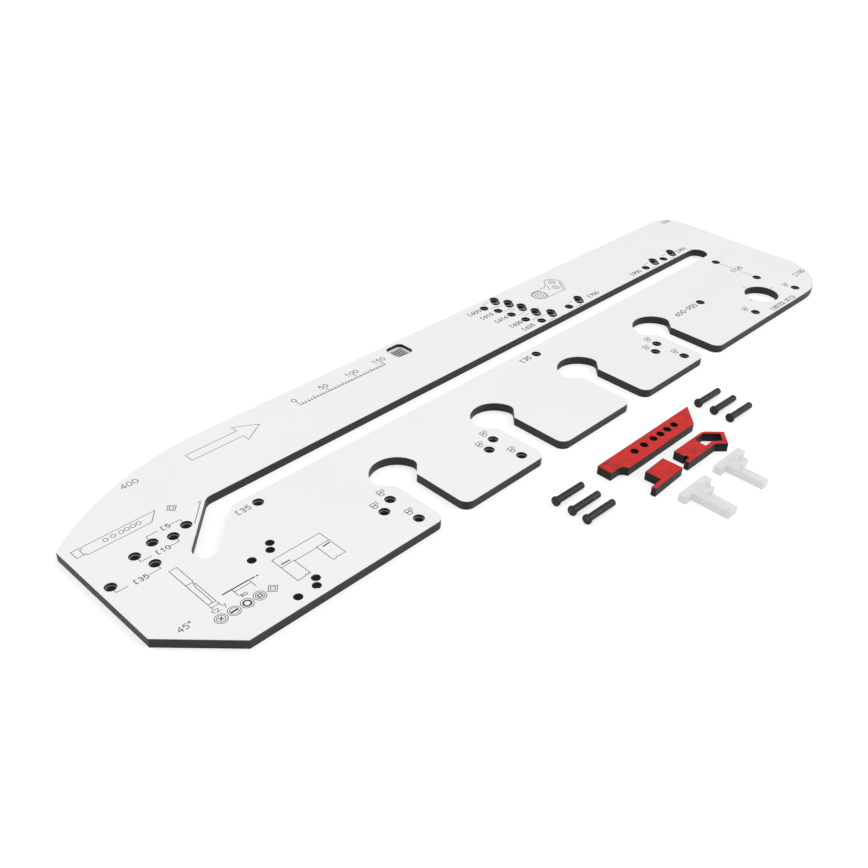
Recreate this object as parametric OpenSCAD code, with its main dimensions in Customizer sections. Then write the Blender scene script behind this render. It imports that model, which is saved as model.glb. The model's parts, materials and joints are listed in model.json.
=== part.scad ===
// Worktop routing jig: a flat template plate, a loose fence, a hooked stop, a stepped block,
// two clear T guides and six headed pins, all lying on one surface.
// Plan positions are counted from the corner where the plate's left and front edges would meet.
// The frame's origin is the middle of the plate's underside: +X along the plate, +Y to its back edge.

/* [Template plate] */
// Length of the plate, left edge to right edge
plate_l = 1246; // [1246:1:1300]
// Depth of the plate, front edge to back edge
plate_w = 328; // [328:1:340]
// Thickness of the plate with its face
plate_t = 12; // [12:0.5:16]
// Thickness of the pale face bonded to the core
plate_face_t = 0.4; // [0.3:0.1:1]
// Leg of the 45 degree cut at the front left corner
chamfer = 69.5; // [60:0.5:75]
// Radius of the large back left corner
big_corner_r = 400; // [390:1:410]
// Radius of the back right corner
back_corner_r = 35; // [10:1:60]
// Radius of the front right corner
front_corner_r = 86; // [50:1:100]

/* [Router slot] */
// Width of the slot that guides the router's bush
slot_w = 31.6; // [30.5:0.1:32]
// Distance from the front edge to the slot's centre line
slot_y = 198.6; // [198:0.1:199]
// Where the centre line starts to bend into the slanted leg
slot_bend_x = 176.8; // [175:0.1:178]
// Where the centre line ends at the right
slot_end_x = 1155.2; // [1140:0.1:1156]
// Length of the slanted leg's centre line
slot_leg_l = 82.2; // [70:0.1:84]

/* [Bolt recesses] */
// Centre of the first bolt recess
recess_x = 359.6; // [355:0.1:362]
// Distance from one recess to the next
recess_pitch = 175.8; // [174:0.1:176]
// Distance from the front edge to the centre of each recess's round head
recess_y = 97; // [95:0.5:99]
// Radius of the round head
recess_r = 34; // [33:0.5:35]
// Width of the neck that opens through the front edge
neck_w = 34.2; // [32:0.1:35]
// Offset of the 45 degree shoulders from the head's centre, along X
shoulder = 33; // [31:0.5:34]
// Radius where the round head runs into a shoulder
shoulder_r = 12; // [8:0.5:14]
// Radius of the plate's corners at the mouth of the neck
mouth_r = 12.5; // [6:0.5:13]

/* [Holes] */
// Radius of the boring aperture at the right end
aperture_r = 26.15; // [24:0.05:27]
// Radius of a pin hole
pin_hole_r = 5.3; // [5:0.05:5.5]
// Radius of the counterbore that takes a pin's head
counterbore_r = 6.85; // [6.6:0.05:7]
// Depth of the counterbore
counterbore_d = 3.3; // [3:0.1:4]
// Side of the rounded square recess for the tag
tag_pocket_w = 30.5; // [28:0.5:31]
// Depth of the recess for the tag
tag_pocket_d = 6; // [4:0.5:7]

/* [Loose pieces] */
// Height of the fence, the hooked stop and the stepped block
loose_t = 12; // [10:0.5:14]
// Height of the clear guides
guide_t = 10.3; // [8:0.1:12]
// Thickness of the red faces
red_face_t = 0.4; // [0.3:0.1:1]
// Length of the fence's back edge to its right tip
fence_l = 192.5; // [188:0.5:194]
// Depth of the fence
fence_w = 29; // [27:0.5:30]

/* [Pins] */
// Overall length of a pin
pin_l = 51; // [48:0.5:52]
// Radius of a pin's shank
pin_r = 4.5; // [4.3:0.05:4.9]
// Radius of a pin's head
pin_head_r = 6.2; // [6:0.05:6.5]
// Thickness of a pin's head
pin_head_t = 3; // [2:0.1:3.2]

/* [Hidden] */
$fn = 96;
// how far a cutting shape runs past the face it cuts
over = 1;
// A circle that rounds the end of a straight stretch stands past it by a hair, so that the two cross
blend_past = 0.05;

slot_r = slot_w / 2;
slot_leg_end = [for (s = [slot_bend_x, slot_y]) s - slot_leg_l * cos(45)];
core_t = plate_t - plate_face_t;
recess_centres = [for (i = [0:3]) recess_x + i * recess_pitch];
neck_r = neck_w / 2;

// The stop holes are laid out by the worktop width that each is marked with: a single hole, then a pair.
stop_datum_x = 143.7;
stop_rows = [
    [600, 309.5], [610, 290], [616, 268.5], [620, 244],
    [635, 225.5], [700, 225.5], [900, 225.5], [950, 225.5]
];
stop_pair_x = 25.8;
pair_step = [7, 9.8];
// Holes in the tabs left of the first, second and fourth recess, from the recess's centre line
tab_holes = [[-39.8, 66.9], [-39.8, 20], [-59.8, 55.1]];
tab_hole_recesses = [0, 1, 3];
// Single counterbored holes
left_pair_rows = [[13.1, 66, 158.2], [56.5, 104.8, 182.3], [82.5, 126, 189]];
lone_holes = [
    [207.8, 166.7], [697, 166.9], [1005.2, 96], [1148, 158.7], [1148, 82], [1161, 20.5], [1040, 20.2]
];
// Holes whose counterbore is on the underside, as one group that repeats
under_group = [[141.9, 14.5], [166.5, 14.5], [173.4, 24.1]];
under_group_step = 77.2;
aperture_at = [1100.5, 45.5];
tag_at = [562.5, 305.7];
tag_corner_r = 8;
tag_gap = 0.3;
tag_t = 1;

fence_at = [546, -86.6];
hook_at = [631.7, -130.9];
block_at = [559, -133.6];
block_turn = 2.5;
// place of each clear guide's back left corner, and the width of its stem
guide_1 = [572.6, -155.7, 17.7];
guide_2 = [651.5, -153.3, 11.8];
pin_groups = [[460, [-62.6, -86.8, -108.2]], [762.2, [-59.2, -83.4, -107.5]]];

// From plan positions to the frame's origin
module placed() { translate([-plate_l / 2, -plate_w / 2, 0]) children(); }

// The part of a rounded corner that is cut away: corner at the origin, material towards +X +Y
module corner_waste(r) {
    difference() {
        translate([-over, -over]) square(r + over);
        translate([r, r]) circle(r, $fn = 240);
    }
}

module plate_blank() {
    difference() {
        square([plate_l, plate_w]);
        polygon([[-over, -over], [chamfer + over, -over], [-over, chamfer + over]]);
        translate([0, plate_w]) big_corner_waste();
        translate([plate_l, plate_w]) rotate(180) corner_waste(back_corner_r);
        translate([plate_l, 0]) rotate(90) corner_waste(front_corner_r);
    }
}

// The large arc is tangent to the back edge and leaves the left edge at a plain corner
big_corner_drop = 83;
module big_corner_waste() {
    reach = sqrt(pow(big_corner_r, 2) - pow(big_corner_r - big_corner_drop, 2));
    difference() {
        translate([-over, -big_corner_drop - over]) square([reach + over, big_corner_drop + 2 * over]);
        translate([reach, -big_corner_r]) circle(big_corner_r, $fn = 720);
    }
}

module slot_cut() {
    translate([slot_bend_x, slot_y - slot_r]) square([slot_end_x - slot_bend_x, slot_w]);
    translate([slot_bend_x, slot_y]) rotate(225) translate([0, -slot_r]) square([slot_leg_l, slot_w]);
    for (p = [[slot_bend_x, slot_y], [slot_end_x, slot_y], slot_leg_end])
        translate(p) circle(slot_r + blend_past / 2);
}

// Round head on 45 degree shoulders over a straight neck, the head's centre at the origin.
// A small circle blends the head into each shoulder.
module recess_cut() {
    small_reach = recess_r - shoulder_r + blend_past;
    u = shoulder / sqrt(2) - shoulder_r + blend_past;
    v = sqrt(pow(small_reach, 2) - pow(u, 2));
    small = [u + v, v - u] / sqrt(2);
    on_head = small * recess_r / small_reach;
    on_line = small + [shoulder_r - blend_past, blend_past - shoulder_r] / sqrt(2);
    intersection() {
        circle(recess_r, $fn = 180);
        translate([-recess_r, on_head[1]]) square(2 * recess_r);
    }
    for (s = [-1, 1]) translate([s * small[0], small[1]]) circle(shoulder_r);
    polygon([
        [neck_r, neck_r - shoulder], on_line, on_head,
        [-on_head[0], on_head[1]], [-on_line[0], on_line[1]], [-neck_r, neck_r - shoulder]
    ]);
    translate([-neck_r, -recess_y - over]) square([neck_w, recess_y + over + small[1]]);
    translate([neck_r, -recess_y]) corner_waste(mouth_r);
    translate([-neck_r, -recess_y]) mirror([1, 0]) corner_waste(mouth_r);
}

module plate_profile() {
    difference() {
        plate_blank();
        slot_cut();
        for (x = recess_centres) translate([x, recess_y]) recess_cut();
        translate(aperture_at) circle(aperture_r, $fn = 180);
    }
}

module tag_square(w, r) {
    half = w / 2 - r;
    square([w, w - 2 * r], center = true);
    square([w - 2 * r, w], center = true);
    for (x = [-half, half], y = [-half, half]) translate([x, y]) circle(r);
}

// Every hole that has its counterbore on the top face
top_holes = concat(
    [for (s = stop_rows) [stop_datum_x + s[0], s[1]]],
    [for (s = stop_rows, k = [0, 1]) [stop_datum_x + stop_pair_x + s[0], s[1]] + k * pair_step],
    [for (i = tab_hole_recesses, h = tab_holes) [recess_centres[i] + h[0], h[1]]],
    [for (r = left_pair_rows, k = [0, 1]) [r[k], r[2]]],
    lone_holes
);
under_holes = [for (k = [0, 1], h = under_group) h + [0, k * under_group_step]];

// The counterbores of a pair are milled into one pocket with round ends
module pair_pocket(z, h) {
    for (s = stop_rows)
        translate([stop_datum_x + stop_pair_x + s[0], s[1], z])
            rotate(atan2(pair_step[1], pair_step[0]))
                translate([0, -counterbore_r, 0]) cube([norm(pair_step), 2 * counterbore_r, h]);
}

module plate_holes() {
    for (p = concat(top_holes, under_holes))
        translate([p[0], p[1], -over]) cylinder(h = plate_t + 2 * over, r = pin_hole_r);
    for (p = top_holes)
        translate([p[0], p[1], plate_t - counterbore_d])
            cylinder(h = counterbore_d + over, r = counterbore_r);
    pair_pocket(plate_t - counterbore_d, counterbore_d + over);
    for (p = under_holes)
        translate([p[0], p[1], -over]) cylinder(h = counterbore_d + over, r = counterbore_r);
    translate([tag_at[0], tag_at[1], plate_t - tag_pocket_d])
        linear_extrude(tag_pocket_d + over) tag_square(tag_pocket_w, tag_corner_r);
}

module plate_core() {
    color("#3a3a3a") placed() difference() {
        linear_extrude(core_t) plate_profile();
        plate_holes();
    }
}

module plate_top_face() {
    color("#f2f2f2") placed() difference() {
        translate([0, 0, core_t]) linear_extrude(plate_face_t) plate_profile();
        plate_holes();
    }
}

module tag_plate() {
    color("#b8b8b8") placed()
        translate([tag_at[0], tag_at[1], plate_t - tag_pocket_d])
            linear_extrude(tag_t) tag_square(tag_pocket_w - 2 * tag_gap, tag_corner_r - tag_gap);
}

// A loose piece is a dark core under a thin red face
module core_layer() { linear_extrude(loose_t - red_face_t) children(); }
module top_layer() { translate([0, 0, loose_t - red_face_t]) linear_extrude(red_face_t) children(); }

// Fence: straight back edge, 45 degree point at the right, narrower tongue at the left
fence_tongue_l = 23.5;
fence_tongue_w = 20.5;
fence_notch_r = 9;
// Length taken off each side of the fence's sharp right tip
fence_tip = 1.9;
fence_hole_y = 16.3;
fence_hole_x = [57.5, 77.5, 97.5, 112.5, 127.5, 142.5];
module fence_profile() {
    translate(fence_at) difference() {
        polygon([
            [0, 0], [fence_l - fence_w, 0], [fence_l - fence_tip / sqrt(2), fence_w - fence_tip / sqrt(2)],
            [fence_l - fence_tip, fence_w], [0, fence_w]
        ]);
        translate([-over, -over]) square([fence_tongue_l - fence_notch_r + over, fence_w - fence_tongue_w + over]);
        translate([-over, -over])
            square([fence_tongue_l + over, fence_w - fence_tongue_w - fence_notch_r + over]);
        translate([fence_tongue_l - fence_notch_r, fence_w - fence_tongue_w - fence_notch_r])
            circle(fence_notch_r);
        for (x = fence_hole_x) translate([x, fence_hole_y]) circle(pin_hole_r);
    }
}
module fence_core() { color("#303030") placed() core_layer() fence_profile(); }
module fence_top_face() { color("#d63431") placed() top_layer() fence_profile(); }

// Hooked stop: a block whose two arms meet in an arrow point around a window
hook_arm = 6.5;
hook_window_x = 47;
module hook_profile() {
    translate(hook_at) difference() {
        polygon([
            [0, 0], [59, 0], [71, -11], [90.4, 7.4], [73, 24.8], [67, 27],
            [7.5, 27], [7.5, 11.7], [10.5, 11.7], [10.5, hook_arm], [0, hook_arm]
        ]);
        polygon([
            [hook_window_x, hook_arm], [61, hook_arm], [71.5, -2.2], [82.5, 8.2],
            [67.4, 23.2], [hook_window_x + 3, 23.2], [hook_window_x, 20.2]
        ]);
    }
}
module hook_core() { color("#303030") placed() core_layer() hook_profile(); }
module hook_top_face() { color("#d63431") placed() top_layer() hook_profile(); }

// Stepped block: a block with a thin leg along its front
block_size = [59.3, 28.5];
block_leg = [20.5, 6.5];
module block_profile() {
    translate(block_at) rotate(block_turn) difference() {
        square(block_size);
        translate([-over, block_leg[1]]) square([block_leg[0] + over, block_size[1]]);
    }
}
module block_core() { color("#303030") placed() core_layer() block_profile(); }
module block_top_face() { color("#d63431") placed() top_layer() block_profile(); }

// Clear guide: cross bar at the back, a shoulder in front of it, then a straight stem
guide_bar = [55, 11];
guide_stem_x = 12.5;
guide_shoulder = [30, 11.4];
guide_stem_l = 38.6;
module clear_guide(guide) {
    front = guide_bar[1] + guide_shoulder[1];
    color("#e4e6ea", 0.6) placed() translate([guide[0], guide[1]]) linear_extrude(guide_t) {
        translate([0, -guide_bar[1]]) square(guide_bar);
        translate([guide_stem_x, -front]) square(guide_shoulder);
        translate([guide_stem_x, -front - guide_stem_l]) square([guide[2], guide_stem_l]);
    }
}

// Headed pin on its side: it leans on the rim of its head and on the edge of its tail
pin_lean = asin((pin_head_r - pin_r) / norm([pin_l - pin_head_t, pin_head_r - pin_r]));
pin_tail_chamfer = 0.8;
module pin(i) {
    group = pin_groups[floor((i - 1) / 3)];
    color("#2b2b2b") placed()
        translate([group[0] + pin_head_t, group[1][(i - 1) % 3], pin_head_r * cos(pin_lean)])
            rotate([0, 90 + pin_lean, 0]) rotate_extrude()
                polygon([
                    [0, -pin_head_t], [pin_head_r, -pin_head_t], [pin_head_r, 0], [pin_r, 0],
                    [pin_r, pin_l - pin_head_t - pin_tail_chamfer],
                    [pin_r - pin_tail_chamfer, pin_l - pin_head_t], [0, pin_l - pin_head_t]
                ]);
}

plate_core();
plate_top_face();
tag_plate();
fence_core();
fence_top_face();
hook_core();
hook_top_face();
block_core();
block_top_face();
clear_guide(guide_1);  // clear_guide_1
clear_guide(guide_2);  // clear_guide_2
pin(1);  // pin_1
pin(2);  // pin_2
pin(3);  // pin_3
pin(4);  // pin_4
pin(5);  // pin_5
pin(6);  // pin_6
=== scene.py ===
# Looks of the worktop routing jig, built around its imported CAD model.
# Objects are in metres in the frame's axes. The engraved drawings are laid out in millimetres, counted
# from the corner where the plate's left and front edges would meet.
import json
import math

import bmesh
import bpy
from mathutils import Matrix, Vector

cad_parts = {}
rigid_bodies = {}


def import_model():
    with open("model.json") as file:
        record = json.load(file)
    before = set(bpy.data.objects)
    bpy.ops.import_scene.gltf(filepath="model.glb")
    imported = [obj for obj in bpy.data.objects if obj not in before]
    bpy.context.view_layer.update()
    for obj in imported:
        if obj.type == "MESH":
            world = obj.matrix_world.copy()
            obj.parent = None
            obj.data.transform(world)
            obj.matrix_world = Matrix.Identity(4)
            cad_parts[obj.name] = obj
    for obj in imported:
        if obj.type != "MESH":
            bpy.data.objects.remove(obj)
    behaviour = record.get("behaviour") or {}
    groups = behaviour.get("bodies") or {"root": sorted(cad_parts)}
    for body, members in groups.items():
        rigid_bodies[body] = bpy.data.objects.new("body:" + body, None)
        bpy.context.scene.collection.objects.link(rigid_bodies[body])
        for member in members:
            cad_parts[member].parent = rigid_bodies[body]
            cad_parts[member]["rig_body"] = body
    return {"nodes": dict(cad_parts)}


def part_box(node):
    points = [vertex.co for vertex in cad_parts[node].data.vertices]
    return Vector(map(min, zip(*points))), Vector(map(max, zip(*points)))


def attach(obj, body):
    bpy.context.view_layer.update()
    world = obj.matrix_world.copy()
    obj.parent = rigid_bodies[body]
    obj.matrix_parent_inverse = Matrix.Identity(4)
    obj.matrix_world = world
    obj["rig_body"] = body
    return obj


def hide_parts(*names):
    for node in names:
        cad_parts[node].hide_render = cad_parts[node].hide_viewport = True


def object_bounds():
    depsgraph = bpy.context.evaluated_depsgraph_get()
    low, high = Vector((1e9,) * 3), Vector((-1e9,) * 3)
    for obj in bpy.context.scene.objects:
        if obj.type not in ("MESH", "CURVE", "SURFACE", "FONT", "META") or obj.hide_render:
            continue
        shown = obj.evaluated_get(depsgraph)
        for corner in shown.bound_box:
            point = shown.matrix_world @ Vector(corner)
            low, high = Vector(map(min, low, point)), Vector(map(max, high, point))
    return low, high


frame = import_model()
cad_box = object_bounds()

MM = 0.001
PLATE_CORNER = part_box("plate_core")[0]
PLATE_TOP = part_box("plate_top_face")[1].z


def link_mesh(name, model, materials):
    """Turns a bmesh into an object of the scene."""
    mesh = bpy.data.meshes.new(name)
    model.to_mesh(mesh)
    model.free()
    for material in materials:
        mesh.materials.append(material)
    made = bpy.data.objects.new(name, mesh)
    bpy.context.scene.collection.objects.link(made)
    return made


# ---------------------------------------------------------------- materials

def new_material(name):
    """A new material with its node tree and its shader."""
    material = bpy.data.materials.new(name)
    material.use_nodes = True
    return material, material.node_tree, material.node_tree.nodes["Principled BSDF"]


def add_node(tree, kind, inputs, **settings):
    """A new node. A value in inputs is linked if it is a socket and set if it is a constant."""
    node = tree.nodes.new(kind)
    for name, value in settings.items():
        setattr(node, name, value)
    for name, value in inputs.items():
        if isinstance(value, bpy.types.NodeSocket):
            tree.links.new(value, node.inputs[name])
        else:
            node.inputs[name].default_value = value
    return node


def object_point(tree):
    """The shaded point in the frame's own axes, in metres."""
    return tree.nodes.new("ShaderNodeTexCoord").outputs["Object"]


def noise(tree, grain, stretch=(1, 1, 1), detail=3.0, roughness=0.5):
    """Noise whose features measure about grain metres, times stretch along each axis."""
    scale = [1 / (grain * s) for s in stretch]
    place = add_node(tree, "ShaderNodeMapping", {"Vector": object_point(tree), "Scale": scale})
    texture = add_node(tree, "ShaderNodeTexNoise", {
        "Vector": place.outputs["Vector"], "Scale": 1.0, "Detail": detail, "Roughness": roughness,
    })
    return texture.outputs["Fac"]


def remap(tree, value, low, high, new_low, new_high):
    """Stretches value from low..high to new_low..new_high and clamps it there."""
    return add_node(tree, "ShaderNodeMapRange", {
        "Value": value, "From Min": low, "From Max": high, "To Min": new_low, "To Max": new_high,
    }).outputs["Result"]


# Most values of a noise lie between these two
NOISE_LOW, NOISE_HIGH = 0.3, 0.7


def spread(tree, texture, low, high):
    """Spreads a noise over low..high."""
    return remap(tree, texture, NOISE_LOW, NOISE_HIGH, low, high)


# Where a colour mix node has its two colours and its result
MIX_FIRST, MIX_SECOND, MIX_RESULT = 6, 7, 2


def blend_colour(tree, factor, first, second):
    """first where factor is 0, second where it is 1. Each is a socket or a constant colour."""
    mix = add_node(tree, "ShaderNodeMix", {"Factor": factor}, data_type="RGBA")
    for socket, colour in ((mix.inputs[MIX_FIRST], first), (mix.inputs[MIX_SECOND], second)):
        if isinstance(colour, bpy.types.NodeSocket):
            tree.links.new(colour, socket)
        else:
            socket.default_value = (*colour, 1)
    return mix.outputs[MIX_RESULT]


def math_node(tree, operation, first, second):
    """The result of a sum, a product or a comparison. Each operand is a socket or a constant."""
    node = tree.nodes.new("ShaderNodeMath")
    node.operation = operation
    for socket, value in zip(node.inputs, (first, second)):
        if isinstance(value, bpy.types.NodeSocket):
            tree.links.new(value, socket)
        else:
            socket.default_value = value
    return node.outputs[0]


def bump(tree, shader, height, distance):
    """Lets height, 0 to 1, raise the shaded surface by distance."""
    node = add_node(tree, "ShaderNodeBump", {"Height": height, "Distance": distance, "Strength": 1.0})
    tree.links.new(node.outputs["Normal"], shader.inputs["Normal"])


# A surface whose normal rises more than this faces up, and one lower than this height is an underside
UPWARD_NORMAL = 0.7
UNDERSIDE_HEIGHT = 0.05 * MM


def upward(tree):
    """1 on level surfaces that face up, 0 on upright and downward ones."""
    normal = tree.nodes.new("ShaderNodeTexCoord").outputs["Normal"]
    level = add_node(tree, "ShaderNodeSeparateXYZ", {"Vector": normal}).outputs["Z"]
    return math_node(tree, "GREATER_THAN", level, UPWARD_NORMAL)


def underside(tree):
    """1 on the surface that lies on the floor, 0 above it."""
    height = add_node(tree, "ShaderNodeSeparateXYZ", {"Vector": object_point(tree)}).outputs["Z"]
    return math_node(tree, "LESS_THAN", height, UNDERSIDE_HEIGHT)


def pale_face_colour(tree):
    """Off-white laminate: fine print grain over a broad, very faint cloudiness."""
    grain = spread(tree, noise(tree, 0.9 * MM, detail=4), 0, 1)
    fine = blend_colour(tree, grain, (0.715, 0.715, 0.717), (0.755, 0.755, 0.756))
    cloud = remap(tree, noise(tree, 140 * MM, detail=2), 0.35, 0.65, 0, 0.5)
    return blend_colour(tree, cloud, fine, (0.705, 0.706, 0.708))


def red_face_colour(tree):
    """Red laminate with darker rubbed smudges."""
    grain = spread(tree, noise(tree, 0.7 * MM, detail=4), 0, 1)
    fine = blend_colour(tree, grain, (0.49, 0.009, 0.006), (0.56, 0.016, 0.011))
    smudge = remap(tree, noise(tree, 11 * MM, (1.6, 1, 1), detail=5, roughness=0.65), 0.46, 0.7, 0, 0.75)
    return blend_colour(tree, smudge, fine, (0.25, 0.014, 0.010))


def core_colour(tree, dark, light):
    """Pressed paper sheets seen edge on: thin uneven layers, and faint upright marks of the cutter."""
    layers = remap(tree, noise(tree, 0.28 * MM, (90, 90, 1), detail=3), 0.35, 0.65, 0, 1)
    marks = remap(tree, noise(tree, 0.7 * MM, (1, 1, 40), detail=2), 0.35, 0.65, 0, 0.35)
    return blend_colour(tree, marks, blend_colour(tree, layers, dark, light), dark)


def laminate_face_material():
    """Pale satin laminate with a fine orange peel and faint scratches along the plate."""
    material, tree, shader = new_material("laminate_face")
    tree.links.new(pale_face_colour(tree), shader.inputs["Base Color"])
    smear = noise(tree, 35 * MM, (1.5, 1, 1), detail=3)
    tree.links.new(spread(tree, smear, 0.34, 0.46), shader.inputs["Roughness"])
    scratch = noise(tree, 0.5 * MM, (60, 1, 1), detail=1)
    faint_scratch = math_node(tree, "MULTIPLY", scratch, 0.5)
    peel = noise(tree, 0.8 * MM, detail=2)
    bump(tree, shader, math_node(tree, "ADD", peel, faint_scratch), 0.006 * MM)
    return material


def laminate_core_material():
    """The core's edges are dark, its upward faces, such as the floors of its counterbores, carry a painted
    highlight, a lighter grey with a fine grain, and its underside carries the same pale face as the top."""
    material, tree, shader = new_material("laminate_core")
    dark = core_colour(tree, (0.020, 0.020, 0.020), (0.044, 0.044, 0.044))
    # Painted highlight: the core's upward faces get a lighter grey, with a fine grain, that stands in for
    # the light they catch
    highlight_grain = spread(tree, noise(tree, 0.8 * MM, detail=3), 0, 1)
    painted_highlight = blend_colour(tree, highlight_grain, (0.22, 0.22, 0.22), (0.32, 0.32, 0.32))
    above = blend_colour(tree, upward(tree), dark, painted_highlight)
    tree.links.new(blend_colour(tree, underside(tree), above, pale_face_colour(tree)),
                   shader.inputs["Base Color"])
    worn = noise(tree, 6 * MM, (1, 1, 0.4), detail=3)
    tree.links.new(spread(tree, worn, 0.38, 0.58), shader.inputs["Roughness"])
    shader.inputs["Specular IOR Level"].default_value = 0.17
    bump(tree, shader, noise(tree, 0.5 * MM, (1, 1, 30), detail=2), 0.02 * MM)
    return material


def red_face_material():
    """Red satin laminate."""
    material, tree, shader = new_material("insert_face")
    tree.links.new(red_face_colour(tree), shader.inputs["Base Color"])
    worn = noise(tree, 9 * MM, detail=4)
    tree.links.new(spread(tree, worn, 0.34, 0.5), shader.inputs["Roughness"])
    shader.inputs["Specular IOR Level"].default_value = 0.22
    bump(tree, shader, noise(tree, 0.6 * MM, detail=2), 0.008 * MM)
    return material


def insert_core_material():
    """Slightly cool dark edges, and a red underside like the top face."""
    material, tree, shader = new_material("insert_core")
    dark = core_colour(tree, (0.006, 0.008, 0.008), (0.018, 0.023, 0.022))
    tree.links.new(blend_colour(tree, underside(tree), dark, red_face_colour(tree)),
                   shader.inputs["Base Color"])
    worn = noise(tree, 4 * MM, (1, 1, 0.4), detail=3)
    tree.links.new(spread(tree, worn, 0.36, 0.55), shader.inputs["Roughness"])
    shader.inputs["Specular IOR Level"].default_value = 0.14
    bump(tree, shader, noise(tree, 0.45 * MM, (1, 1, 30), detail=2), 0.02 * MM)
    return material


def clear_plastic_material():
    """Clear sheet with machined, slightly frosted faces and a faint cool tint."""
    material, tree, shader = new_material("clear_plastic")
    haze = spread(tree, noise(tree, 7 * MM, detail=4), 0, 1)
    tint = blend_colour(tree, haze, (0.595, 0.59, 0.62), (0.61, 0.605, 0.635))
    tree.links.new(tint, shader.inputs["Base Color"])
    frost = noise(tree, 5 * MM, (1, 1, 0.5), detail=2)
    tree.links.new(spread(tree, frost, 0.24, 0.3), shader.inputs["Roughness"])
    tree.links.new(spread(tree, frost, 0.47, 0.49), shader.inputs["Alpha"])
    shader.inputs["IOR"].default_value = 1.49
    return material


def black_metal_material():
    """Black anodised pins with the fine rings that turning leaves along their length."""
    material, tree, shader = new_material("black_metal")
    streak = noise(tree, 0.35 * MM, (1, 60, 60), detail=2)
    rings = remap(tree, streak, 0.35, 0.65, 0, 1)
    fine = blend_colour(tree, rings, (0.006, 0.006, 0.007), (0.016, 0.016, 0.017))
    rub = remap(tree, noise(tree, 5 * MM, detail=4), 0.55, 0.75, 0, 0.5)
    tree.links.new(blend_colour(tree, rub, fine, (0.09, 0.09, 0.09)), shader.inputs["Base Color"])
    worn = noise(tree, 3 * MM, detail=3)
    tree.links.new(spread(tree, worn, 0.36, 0.46), shader.inputs["Roughness"])
    shader.inputs["Specular IOR Level"].default_value = 0.25
    shader.inputs["Sheen Weight"].default_value = 0.7
    shader.inputs["Sheen Roughness"].default_value = 0.2
    bump(tree, shader, streak, 0.01 * MM)
    return material


def tag_material(name, dark, light):
    """Slightly glossy print between two greys."""
    material, tree, shader = new_material(name)
    grain = spread(tree, noise(tree, 0.6 * MM, detail=3), 0, 1)
    tree.links.new(blend_colour(tree, grain, dark, light), shader.inputs["Base Color"])
    shine = noise(tree, 5 * MM, detail=2)
    tree.links.new(spread(tree, shine, 0.3, 0.45), shader.inputs["Roughness"])
    return material


def engraving_material():
    """Grooves cut through the pale face into the dark core, with a little pale dust left in them."""
    material, tree, shader = new_material("engraving")
    dust = remap(tree, noise(tree, 0.5 * MM, detail=3), 0.4, 0.75, 0, 0.6)
    tree.links.new(blend_colour(tree, dust, (0.015, 0.015, 0.016), (0.05, 0.05, 0.05)),
                   shader.inputs["Base Color"])
    shader.inputs["Roughness"].default_value = 0.7
    return material


def floor_material():
    """A pale floor that glows a little, so that the shadows on it stay as faint as in the photo."""
    material, tree, shader = new_material("studio_floor")
    cloud = remap(tree, noise(tree, 400 * MM, detail=2), 0.35, 0.65, 0, 1)
    tree.links.new(blend_colour(tree, cloud, (0.50, 0.50, 0.50), (0.52, 0.52, 0.52)),
                   shader.inputs["Base Color"])
    shader.inputs["Emission Color"].default_value = (1, 1, 1, 1)
    shader.inputs["Emission Strength"].default_value = 0.55
    shader.inputs["Roughness"].default_value = 0.9
    shader.inputs["Specular IOR Level"].default_value = 0.1
    return material


# ---------------------------------------------------------------- CAD nodes with finished edges

# An edge sharper than this is a real edge, not a step of a round surface
SHARP = math.radians(28)
# Points closer than this are one point
SAME_PLACE = 0.001 * MM
# Neighbouring triangles that bend less than this are joined into one face
FLAT = math.radians(0.3)
# Faces across a rounded edge, and the bevel's profile that makes it round
EDGE_STEPS = 2
ROUND_PROFILE = 0.5
# Radii of the rounded edges
PLATE_RIM = 0.38 * MM
RED_RIM = 0.35 * MM
CORE_EDGE = 0.3 * MM
CLEAR_EDGE = 0.35 * MM
PIN_EDGE = 0.6 * MM


def finished_copy(node, material, radius, softened, worn=None):
    """A copy of a CAD node that stands for it, rides on its body and keeps its place. The sharp edges
    that softened() picks are rounded by radius, and show the worn material where there is one."""
    source = frame["nodes"][node]
    model = bmesh.new()
    model.from_mesh(source.data)
    bmesh.ops.remove_doubles(model, verts=model.verts, dist=SAME_PLACE)
    bmesh.ops.dissolve_limit(model, angle_limit=FLAT, verts=model.verts, edges=model.edges)
    model.normal_update()
    chosen = [e for e in model.edges
              if len(e.link_faces) == 2 and e.calc_face_angle(0) > SHARP and softened(e)]
    bmesh.ops.bevel(model, geom=chosen, offset=radius, segments=EDGE_STEPS, profile=ROUND_PROFILE,
                    affect="EDGES", clamp_overlap=True, loop_slide=False, material=1 if worn else 0)
    bmesh.ops.triangulate(model, faces=[f for f in model.faces if len(f.verts) > 4])
    for face in model.faces:
        face.smooth = True
    for edge in model.edges:
        edge.smooth = len(edge.link_faces) == 2 and edge.calc_face_angle(0) < SHARP
    piece = link_mesh(node + "_finished", model, (material, worn) if worn else (material,))
    normals = piece.modifiers.new("flat_faces_stay_flat", "WEIGHTED_NORMAL")
    normals.keep_sharp = True
    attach(piece, source["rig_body"])
    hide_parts(node)


def every_edge(edge):
    """Picks them all."""
    return True


def at_height(height):
    """Picks edges that lie in the level plane at that height."""
    return lambda edge: all(abs(v.co.z - height) < SAME_PLACE for v in edge.verts)


def upright(edge):
    """Picks edges that run straight up."""
    first, second = (v.co for v in edge.verts)
    return (first - second).xy.length < SAME_PLACE


def outer_edges(height):
    """Picks the rim at that height and the upright corners, so that stacked layers stay flush."""
    rim = at_height(height)
    return lambda edge: rim(edge) or upright(edge)


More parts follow.
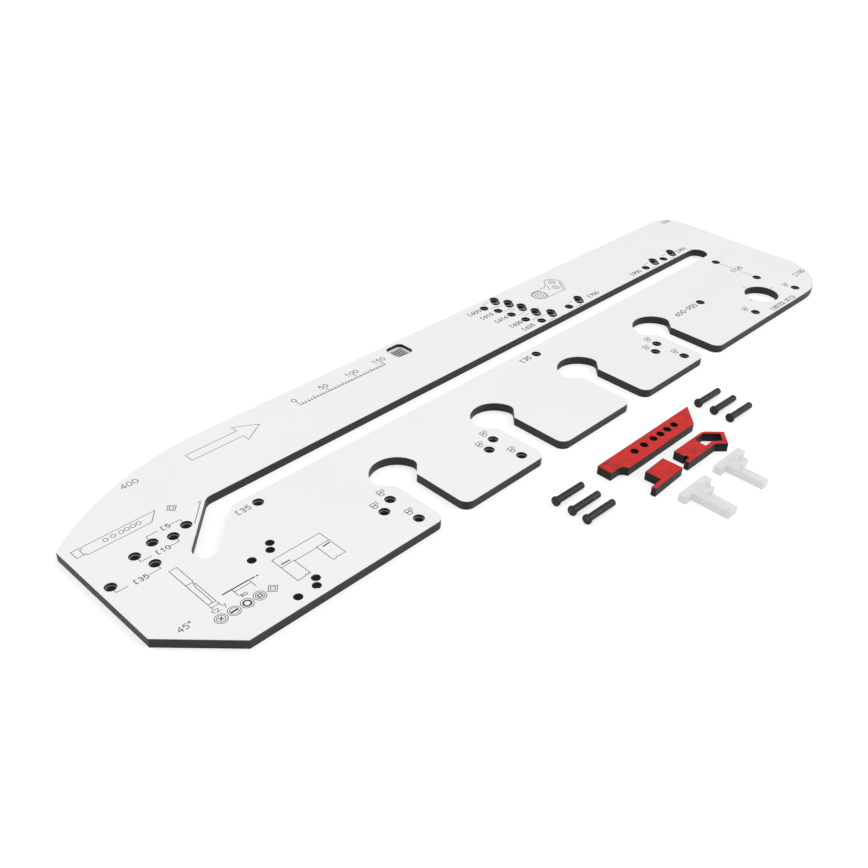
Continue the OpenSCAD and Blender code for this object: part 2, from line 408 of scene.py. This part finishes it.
def finish_nodes():
    """Finished copies of every node except the tag, which only gets its material."""
    face, core = laminate_face_material(), laminate_core_material()
    red, insert = red_face_material(), insert_core_material()
    clear, metal = clear_plastic_material(), black_metal_material()
    finished_copy("plate_top_face", face, PLATE_RIM, at_height(PLATE_TOP), worn=core)
    finished_copy("plate_core", core, CORE_EDGE, at_height(PLATE_CORNER.z))
    for loose in ("fence", "hook", "block"):
        low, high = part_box(loose + "_core")[0].z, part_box(loose + "_top_face")[1].z
        finished_copy(loose + "_top_face", red, RED_RIM, outer_edges(high), worn=insert)
        finished_copy(loose + "_core", insert, CORE_EDGE, outer_edges(low))
    for node in sorted(frame["nodes"]):
        if node.startswith("clear_guide"):
            finished_copy(node, clear, CLEAR_EDGE, every_edge)
        if node.startswith("pin_"):
            finished_copy(node, metal, PIN_EDGE, every_edge)
    tag = frame["nodes"]["tag_plate"]
    tag.data.materials.clear()
    tag.data.materials.append(tag_material("tag", (0.60, 0.61, 0.62), (0.70, 0.71, 0.72)))


# ---------------------------------------------------------------- engraved drawings

# Degrees in one step of an arc, and the fewest steps that an arc has
ARC_STEP = 15
ARC_STEPS_MIN = 4


def arc(x, y, radius, start, end, squash=1.0, steps=None):
    """Points on an arc, angles in degrees. squash scales it along Y."""
    steps = steps or max(ARC_STEPS_MIN, round(abs(end - start) / ARC_STEP))
    angles = [math.radians(start + (end - start) * i / steps) for i in range(steps + 1)]
    return [(x + radius * math.cos(a), y + radius * squash * math.sin(a)) for a in angles]


def ring(x, y, radius, squash=1.0):
    """A whole circle, scaled along Y by squash."""
    return arc(x, y, radius, 0, 360, squash)


def moved(stroke, x, y):
    """The stroke moved by x and y."""
    return [(x + px, y + py) for px, py in stroke]


# Numerals drawn with single lines in a cell 4 wide and 6 high, and the step from one to the next
GLYPH_WIDTH = 4
GLYPH_HEIGHT = 6
GLYPH_STEP = 5.6
GLYPHS = {
    "0": [ring(2, 3, 2, 1.5)],
    "1": [[(0.8, 4.6), (2.2, 6), (2.2, 0)]],
    "2": [arc(2, 4.1, 1.9, 165, -35) + [(0.1, 0), (4, 0)]],
    "3": [arc(1.9, 4.5, 1.5, 150, -90) + arc(1.9, 1.6, 1.8, 80, -150, 0.9)],
    "4": [[(3, 0), (3, 6), (0, 1.8), (4.2, 1.8)]],
    "5": [[(3.7, 6), (0.6, 6), (0.4, 3.4)] + arc(1.9, 2, 2, 125, -140)],
    "6": [[(3.2, 6), (0.8, 3.4)] + arc(2, 1.9, 1.9, 150, 500)],
    "7": [[(0, 6), (4, 6), (1.4, 0)]],
    "8": [ring(2, 4.55, 1.45), ring(2, 1.55, 1.7, 0.9)],
    "9": [[(0.8, 0), (3.2, 2.6)] + arc(2, 4.1, 1.9, -30, 320)],
    ".": [ring(1, 0.2, 0.2)],
    "o": [ring(1, 5.2, 0.9)],
    "[": [[(3, 6), (1, 6), (1, 0), (3, 0)]],
    "-": [[(0.5, 3), (3.5, 3)]],
}


def numerals(text, x, y, height):
    """Strokes of a row of numerals centred on a point. o is the degree sign, and [ is a plain tick."""
    scale = height / GLYPH_HEIGHT
    width = (len(text) - 1) * GLYPH_STEP + GLYPH_WIDTH
    strokes = []
    for place, letter in enumerate(text):
        left = place * GLYPH_STEP - width / 2
        strokes += [[(x + (left + px) * scale, y + (py - GLYPH_HEIGHT / 2) * scale) for px, py in stroke]
                    for stroke in GLYPHS[letter]]
    return strokes


def add_piece(name, model, material, body):
    """Turns a bmesh into a piece that rides on a body."""
    piece = link_mesh(name, model, (material,))
    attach(piece, body)


# How far an engraved line reaches below the face it marks, and how far it stands above it
LINE_DEPTH = 0.2 * MM
LINE_STAND = 0.015 * MM


def engrave(name, strokes, width, material, origin=PLATE_CORNER, level=PLATE_TOP, body="plate"):
    """One piece of thin closed bands that follow the strokes and stand a hair above the face they mark."""
    low, high = level - LINE_DEPTH, level + LINE_STAND
    model = bmesh.new()
    for stroke in strokes:
        points = [Vector(p) * MM for p in stroke]
        closed = (points[0] - points[-1]).length < SAME_PLACE
        if closed:
            points = points[:-1]
        add_band(model, points, closed, width * MM / 2, low, high)
    bmesh.ops.translate(model, verts=model.verts, vec=(origin.x, origin.y, 0))
    add_piece(name, model, material, body)


# A mitred corner reaches at most this many half widths from the line
MITRE_LIMIT = 2.5


def add_band(model, points, closed, half, low, high):
    """A mitred band with a rectangular section, half wide on each side of a flat line of points."""
    count = len(points)
    sections = []
    for i, point in enumerate(points):
        before = (point - points[i - 1]).normalized() if closed or i else None
        after = (points[(i + 1) % count] - point).normalized() if closed or i < count - 1 else None
        along = ((before or after) + (after or before)).normalized()
        side = Vector((-along.y, along.x))
        turn = side.dot(Vector((-(after or before).y, (after or before).x)))
        reach = half / max(turn, 1 / MITRE_LIMIT)
        end = half * along if not closed and i in (0, count - 1) else Vector((0, 0))
        middle = point + end * (-1 if i == 0 else 1)
        left, right = middle + side * reach, middle - side * reach
        corners = ((left, high), (right, high), (right, low), (left, low))
        sections.append([model.verts.new((p.x, p.y, z)) for p, z in corners])
    for i in range(count if closed else count - 1):
        here, there = sections[i], sections[(i + 1) % count]
        for k in range(4):
            model.faces.new((here[k], there[k], there[(k + 1) % 4], here[(k + 1) % 4]))
    if not closed:
        model.faces.new(sections[0])
        model.faces.new(sections[-1][::-1])


# Widths of the engraved lines in millimetres. They are a little wider than real ones, and those of the
# far numerals wider still, so that they look as strong as in the photo.
FINE_LINE = 0.8
LARGE_LINE = 0.95
NUMERAL_LINE = 1.1
FAR_LINE = 1.4
FILLING_LINE = 1.3
MARK_LINE = 1.3
BOARD_LINE = 1.7


def fence_drawing():
    """The fence's own outline with its holes."""
    outline = [(11, 234), (115, 234), (101, 218.5), (22, 218.5), (22, 221), (11, 221), (11, 234)]
    holes = [ring(x, 227.1, 2.8) for x in (48.7, 58.3, 68, 75.3, 82.7, 89.8)]
    return [outline, [(19.5, 221), (19.5, 231), (23, 231)]] + holes


def hole_brackets():
    """Each pair of left holes is joined by a bracket with a gap for its number."""
    strokes = []
    for left, right, end, level, gap in (
        (82.5, 126, 196.5, 201.2, (97, 112)),
        (56.5, 104.8, 174.8, 170.5, (70, 91)),
        (13.1, 66, 150.7, 147, (27, 52)),
    ):
        strokes.append([(left, end), (left, level), (gap[0], level)])
        strokes.append([(gap[1], level), (right, level), (right, end)])
    return strokes


def cutter_drawing():
    """A straight router cutter seen from the side, and the width of its cut."""
    left, right, tip, top, neck = 69, 78.5, 67.5, 137, 106.5
    outline = [(left, tip), (left, top), (right, top), (right, neck + 2), (76, neck - 5),
               (75.2, neck - 10), (75.2, tip + 4), (73.8, tip), (left, tip)]
    flute = [(76.2, neck - 4), (right, neck - 3), (right, tip), (73.8, tip)]
    dimension = [[(left, tip - 2), (left, tip - 9)], [(right, tip - 2), (right, tip - 9)],
                 [(left, tip - 5.5), (right, tip - 5.5)]]
    return [outline, flute, [(left, neck), (76.8, neck)]] + dimension


def depth_drawing():
    """The span that a board's edge is cut over."""
    left, right, edge, foot = 99.6, 121.2, 69.4, 57.2
    level = edge - 4.3
    return [[(left, edge), (left, foot)], [(right, edge), (right, foot)], [(left, level), (right, level)]]


def board_edge():
    """The board's edge: a thick line that ends in a dash and a dot."""
    return [[(88.5, 70), (121, 69.6)], [(123.5, 69.4), (128, 69.2)], [(131, 69), (132.2, 69)]]


def joint_drawing():
    """Two worktops with broken ends, joined to a third along their shoulders."""
    left, right, top, shoulder, foot = 157, 222.7, 77, 61, 33.5
    inner_left, inner_right = 174.3, 205.3
    return [
        [(left, foot), (left, top), (right, top), (right, foot)],
        [(left, shoulder), (inner_left, shoulder), (inner_left, foot)],
        [(inner_right, foot), (inner_right, shoulder), (right, shoulder)],
        [(inner_left, shoulder - 1), (inner_right, shoulder - 1)],
        [(left, foot), (167, foot), (169, foot + 2), (171, foot), (172.5, foot + 1.5),
         (inner_left, foot)],
        [(inner_right, foot), (208, foot - 1), (211, foot + 1.5), (213, foot), (right, foot)],
    ]


def joint_bars():
    """A thick plain bar on each shoulder of the joint."""
    return [[(161, 65), (171, 64.6)], [(211.5, 57), (220, 57.5)]]


# Centres of the four rings in a row
FIRST_RING = (67.2, 42.8)
RING_SPACING = 16
RING_ROW = [(FIRST_RING[0] + RING_SPACING * i, FIRST_RING[1]) for i in range(4)]


def plain_rings():
    """A row of four double rings that ends in a double diamond, and another such diamond by the left
    holes."""
    rings = [ring(x, y, radius) for x, y in RING_ROW for radius in (6.9, 4.7)]
    diamonds = [arc(x, y, radius, 0, 360, steps=4)
                for x, y in ((131, 42), (131, 225)) for radius in (6.5, 3.5)]
    return rings + diamonds


def ring_fillings():
    """A thick plain shape in each ring: a cross, a bar, an octagon and a square."""
    cross = [[(-1.8, -1.8), (1.8, 1.8)], [(-1.8, 1.8), (1.8, -1.8)]]
    bar = [[(-3.4, 0.5), (3.4, 0.5)], [(-3.4, -0.5), (3.4, -0.5)]]
    octagon = [arc(0, 0, 4, 22.5, 382.5, steps=8)]
    square = [[(-2, -2), (2, -2), (2, 2), (-2, 2), (-2, -2)]]
    return [moved(stroke, x, y)
            for (x, y), shape in zip(RING_ROW, (cross, bar, octagon, square)) for stroke in shape]


def leg_line():
    """A line beside the slot's slanted leg, with a short bar at its end."""
    return [[(134, 184.5), (160.5, 211.3)], [(157.5, 212), (163, 213.4)]]


# Place of each single stop hole, and where its number is centred along the plate
STOP_HOLE_ROWS = {
    "600": (743.7, 309.5, 725), "610": (753.7, 290, 731.5), "616": (759.7, 268.5, 740),
    "620": (763.7, 244, 745.5), "635": (778.7, 225.5, 752), "700": (843.7, 225.5, 906),
    "900": (1043.7, 225.5, 1019), "950": (1093.7, 225.5, 1148),
}


def stop_links():
    """Two short lines join each single stop hole to the pair beside it."""
    back, front = [(7, 8.6), (18.5, 8.6)], [(6.5, -8), (20.5, -8)]
    return [moved(line, x, y) for x, y, _ in STOP_HOLE_ROWS.values() for line in (back, front)]


def clamp_drawing():
    """A flat clamp plate in plan: a round lobe, a bar and a wide end with two eyes."""
    outline = [(875.5, 266.7), (881, 265.8), (887.5, 268.8), (902.3, 291), (899.5, 299), (895, 305.4),
               (887.1, 308), (879.7, 305.7), (876, 299), (865.5, 292.6), (840, 292.6)]
    lines = [outline, [(844, 267.3), (875.5, 266.7)], [(899, 291), (883.2, 270)],
             [(873.5, 293.5), (865.8, 281.4)]]
    rings = [ring(839.5, 281, radius) for radius in (12.7, 10.7, 7, 3)]
    eyes = [ring(x, y, radius) for x, y in ((889, 296.6), (879.3, 281.2)) for radius in (5.8, 2.5)]
    return lines + rings + eyes


# Centre lines of the bolt recesses that have holes beside them
RECESS_LINES = (359.6, 535.4, 887)


def bolt_marks():
    """A small double loop over each hole beside the recesses, and over the two by the aperture."""
    loop = [(-3, -1.6), (-3, 1.6), (-2, 2.2), (2, 2.2), (3, 1.2), (3, -1.2), (2, -2.2), (-2, -2.2),
            (-3, -1.6)]
    hook = [(5, -0.5), (6.5, 1), (6.5, 4.5), (5, 4.8)]
    spots = [(x + dx, y) for x in RECESS_LINES for dx, y in ((-40.5, 82.8), (-40.5, 36), (-61.5, 70.6))]
    strokes = []
    for x, y in spots + [(1036, 36), (1157, 36)]:
        strokes += [moved(loop, x, y - 2.4), moved(loop, x, y + 2.4), moved(hook, x, y)]
    return strokes


def aperture_marks():
    """Short centre lines around the boring aperture, and the line between the two holes above it."""
    x, y, near, far = 1100.5, 45.5, 28.5, 34
    ticks = [[(x + a * near, y + b * near), (x + a * far, y + b * far)]
             for a, b in ((1, 0), (-1, 0), (0, 1))]
    return ticks + [[(1148, 90.5), (1148, 112)], [(1148, 128), (1148, 150)]]


def plain_arrow():
    """A plain outlined arrow that points along the plate, beside the large corner."""
    left, right, low, high = 200, 306, 274, 310
    head_length, shaft_width = 30, 14
    neck, middle = right - head_length, (low + high) / 2
    front, back = middle - shaft_width / 2, middle + shaft_width / 2
    return [[(left, front), (neck, front), (neck, low), (right, middle), (neck, high), (neck, back),
             (left, back), (left, front)]]


def plain_scale():
    """A graduated scale 150 mm long, with a line at every 5 mm and a number at every 50 mm."""
    start, foot, length, step = 372, 291, 150, 5
    numeral_rise, numeral_height = 14, 8
    strokes = [[(start, foot), (start + length, foot)]]
    for at in range(0, length + step, step):
        tall = 8 if at % 50 == 0 else 5.5 if at % 25 == 0 else 3.5
        strokes.append([(start + at, foot), (start + at, foot + tall)])
        if at % 50 == 0:
            strokes += numerals(str(at), start + at, foot + numeral_rise, numeral_height)
    return strokes


def numeral_rows(rows):
    """Strokes of several rows, each given by its text, its centre and its height."""
    return [stroke for row in rows for stroke in numerals(*row)]


def small_numerals():
    """Numbers of the left holes' offsets, each behind a plain tick."""
    return numeral_rows([("[5", 107, 201.2, 6.5), ("[10", 84, 170.5, 6.5), ("[35", 42, 147, 6.5),
                         ("[35", 186.5, 166.5, 7.5)])


def tiny_numerals():
    """Numbers of the cutter's width and the cut's span."""
    return numeral_rows([("12.7", 73.8, 55.3, 5), ("80", 104.5, 55.5, 4.6)])


def large_numerals():
    """Numbers beside the big corner and the chamfer."""
    return numeral_rows([("400", 121, 296, 8.5), ("45o", 36, 58, 7.2)])


# The plain tick in front of a stop hole's number moves the middle of the row to the left by this much
TICK_SHIFT = 3.2


def far_numerals():
    """Numbers of the stop holes, and of the holes, the aperture and the corners at the right end."""
    rows = [("[" + text, at - TICK_SHIFT, y, 7) for text, (_, y, at) in STOP_HOLE_ROWS.items()]
    rows += [("[35", 674, 167, 7.5), ("[50", 1226, 312.5, 8), ("[100", 1214.5, 44, 8.4),
             ("600-950", 966.5, 96.5, 8.4), ("[35[52.3[12", 1098.3, 7.2, 6.6), ("[120", 1150, 120.5, 7.5)]
    return numeral_rows(rows)


# Where the mark on each loose piece is centred, counted from the piece's own front left corner
LOOSE_MARKS = {"fence": (15, 22), "hook": (27, 19), "block": (39, 9)}


def loose_mark(x, y):
    """A short bar and two strokes, which stand for nothing."""
    strokes = [[(-5, 2.2), (3, 2.2)], [(-5, -2), (-1, -2)], [(1.5, -2), (4.5, -2)]]
    return [moved(stroke, x, y) for stroke in strokes]


def engrave_all():
    """Every drawing on the plate, and the mark on each red piece."""
    grooves = engraving_material()
    for name, strokes, width in (
        ("fence", fence_drawing(), FINE_LINE),
        ("brackets", hole_brackets(), FINE_LINE),
        ("cutter", cutter_drawing(), FINE_LINE),
        ("span", depth_drawing(), FINE_LINE),
        ("board_edge", board_edge(), BOARD_LINE),
        ("joint", joint_drawing(), FINE_LINE),
        ("joint_bars", joint_bars(), BOARD_LINE),
        ("rings", plain_rings(), FINE_LINE),
        ("ring_fillings", ring_fillings(), FILLING_LINE),
        ("leg_line", leg_line(), FINE_LINE),
        ("stop_links", stop_links(), FINE_LINE),
        ("clamp", clamp_drawing(), LARGE_LINE),
        ("bolt_marks", bolt_marks(), LARGE_LINE),
        ("aperture", aperture_marks(), FINE_LINE),
        ("arrow", plain_arrow(), FINE_LINE),
        ("scale", plain_scale(), NUMERAL_LINE),
        ("tiny_numerals", tiny_numerals(), FINE_LINE),
        ("small_numerals", small_numerals(), NUMERAL_LINE),
        ("large_numerals", large_numerals(), LARGE_LINE),
        ("far_numerals", far_numerals(), FAR_LINE),
    ):
        engrave("engraved_" + name, strokes, width, grooves)
    for body, at in LOOSE_MARKS.items():
        low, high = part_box(body + "_top_face")
        engrave("engraved_" + body + "_mark", loose_mark(*at), MARK_LINE, grooves, low, high.z, body)


# ---------------------------------------------------------------- tag

# The tag's print: how far it reaches into the tag, and how far it stands above it
PRINT_DEPTH = 0.1 * MM
PRINT_STAND = 0.02 * MM
# The border: its width, its distance from the tag's edge, its outer corners' radius and their steps
BORDER_WIDTH = 2.6 * MM
BORDER_INSET = 0.4 * MM
BORDER_CORNER = 4 * MM
BORDER_STEPS = 6
# The frame: half the side of its middle line, and the line's width
FRAME_HALF = 9.6 * MM
FRAME_WIDTH = 0.9 * MM
# The squares: how many each way, their spacing and their side
CELLS = 4
CELL_PITCH = 4.2 * MM
CELL_SIDE = 2.9 * MM


def tag_border_line(centre, half):
    """The middle line of the border: a square with round corners."""
    reach = half - BORDER_INSET - BORDER_CORNER
    radius = BORDER_CORNER - BORDER_WIDTH / 2
    line = []
    for quarter in range(4):
        turn = math.radians(90 * quarter)
        corner = Vector((math.cos(turn) - math.sin(turn), math.sin(turn) + math.cos(turn)))
        for step in range(BORDER_STEPS + 1):
            angle = turn + math.radians(90 * step / BORDER_STEPS)
            line.append(centre + corner * reach + Vector((math.cos(angle), math.sin(angle))) * radius)
    return line


def print_tag():
    """A pale border round a plain dark frame and an even grid of squares, which stand for nothing."""
    low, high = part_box("tag_plate")
    centre, half = ((low + high) / 2).xy, (high - low).x / 2
    foot, level = high.z - PRINT_DEPTH, high.z + PRINT_STAND
    pale = tag_material("tag_border", (0.88, 0.88, 0.88), (0.94, 0.94, 0.94))
    dark = tag_material("tag_print", (0.03, 0.03, 0.03), (0.07, 0.07, 0.07))

    border = bmesh.new()
    add_band(border, tag_border_line(centre, half), True, BORDER_WIDTH / 2, foot, level)
    add_piece("tag_border", border, pale, "plate")

    pattern = bmesh.new()
    frame_line = [centre + Vector((x, y)) * FRAME_HALF for x, y in ((1, 1), (-1, 1), (-1, -1), (1, -1))]
    add_band(pattern, frame_line, True, FRAME_WIDTH / 2, foot, level)
    half_side = Vector((CELL_SIDE / 2, 0))
    for column in range(CELLS):
        for row in range(CELLS):
            place = Vector((column - (CELLS - 1) / 2, row - (CELLS - 1) / 2))
            middle = centre + place * CELL_PITCH
            add_band(pattern, [middle - half_side, middle + half_side], False, CELL_SIDE / 2, foot, level)
    add_piece("tag_pattern", pattern, dark, "plate")


# ---------------------------------------------------------------- floor, light and camera

# Half the floor's side in metres, its cells each way, and how far below the pieces it lies
FLOOR_HALF = 9
FLOOR_CELLS = 24
FLOOR_GAP = 0.1 * MM


def build_floor():
    """A large plain floor just under the pieces."""
    model = bmesh.new()
    bmesh.ops.create_grid(model, x_segments=FLOOR_CELLS, y_segments=FLOOR_CELLS, size=FLOOR_HALF)
    floor = link_mesh("floor", model, (floor_material(),))
    floor.location.z = cad_box[0].z - FLOOR_GAP


def soft_light(name, toward, strength, width):
    """A distant light from the direction of a point, width degrees wide."""
    data = bpy.data.lights.new(name, "SUN")
    data.energy = strength
    data.angle = math.radians(width)
    light = bpy.data.objects.new(name, data)
    light.location = toward
    light.rotation_euler = (-Vector(toward)).to_track_quat("-Z", "Y").to_euler()
    bpy.context.scene.collection.objects.link(light)


SKY_STRENGTH = 0.45


def build_lights():
    """An even white sky, a broad overhead light, and a soft light on each side of the camera's axis."""
    world = bpy.data.worlds.new("studio")
    world.use_nodes = True
    background = world.node_tree.nodes["Background"]
    background.inputs["Color"].default_value = (1, 1, 1, 1)
    background.inputs["Strength"].default_value = SKY_STRENGTH
    bpy.context.scene.world = world
    soft_light("overhead", toward=(0.5, 0.3, 3), strength=1.05, width=100)
    soft_light("right_side", toward=(2, -2, 1.9), strength=1.5, width=40)
    soft_light("left_side", toward=(-1.5, 2.4, 1.9), strength=0.95, width=40)


# The way the camera looks, in degrees: clockwise from +Y seen from above, down, and its own roll
CAMERA_AZIMUTH = 46.155
CAMERA_DROP = 34.493
CAMERA_ROLL = 1.596
# The point of the plate's top in the middle of its view, and the distance to it, in metres
CAMERA_AIM = Vector((-0.1727, -0.0385, PLATE_TOP))
CAMERA_DISTANCE = 1.327
# In millimetres
SENSOR_WIDTH = 36
LENS = 44.02


def build_camera():
    """The camera looks down on the jig from beyond its front left corner."""
    azimuth, drop, roll = (math.radians(a) for a in (CAMERA_AZIMUTH, CAMERA_DROP, CAMERA_ROLL))
    forward = Vector((math.sin(azimuth) * math.cos(drop), math.cos(azimuth) * math.cos(drop),
                      -math.sin(drop)))
    level_right = Vector((math.cos(azimuth), -math.sin(azimuth), 0))
    level_up = level_right.cross(forward)
    right = level_right * math.cos(roll) + level_up * math.sin(roll)
    up = level_up * math.cos(roll) - level_right * math.sin(roll)
    data = bpy.data.cameras.new("camera")
    data.sensor_width = SENSOR_WIDTH
    data.lens = LENS
    camera = bpy.data.objects.new("camera", data)
    rotation = Matrix((right, up, -forward)).transposed()
    camera.matrix_world = Matrix.Translation(CAMERA_AIM - forward * CAMERA_DISTANCE) @ rotation.to_4x4()
    bpy.context.scene.collection.objects.link(camera)
    bpy.context.scene.camera = camera


bpy.context.scene.view_settings.view_transform = "Standard"
build_camera()
finish_nodes()
engrave_all()
print_tag()
build_floor()
build_lights()
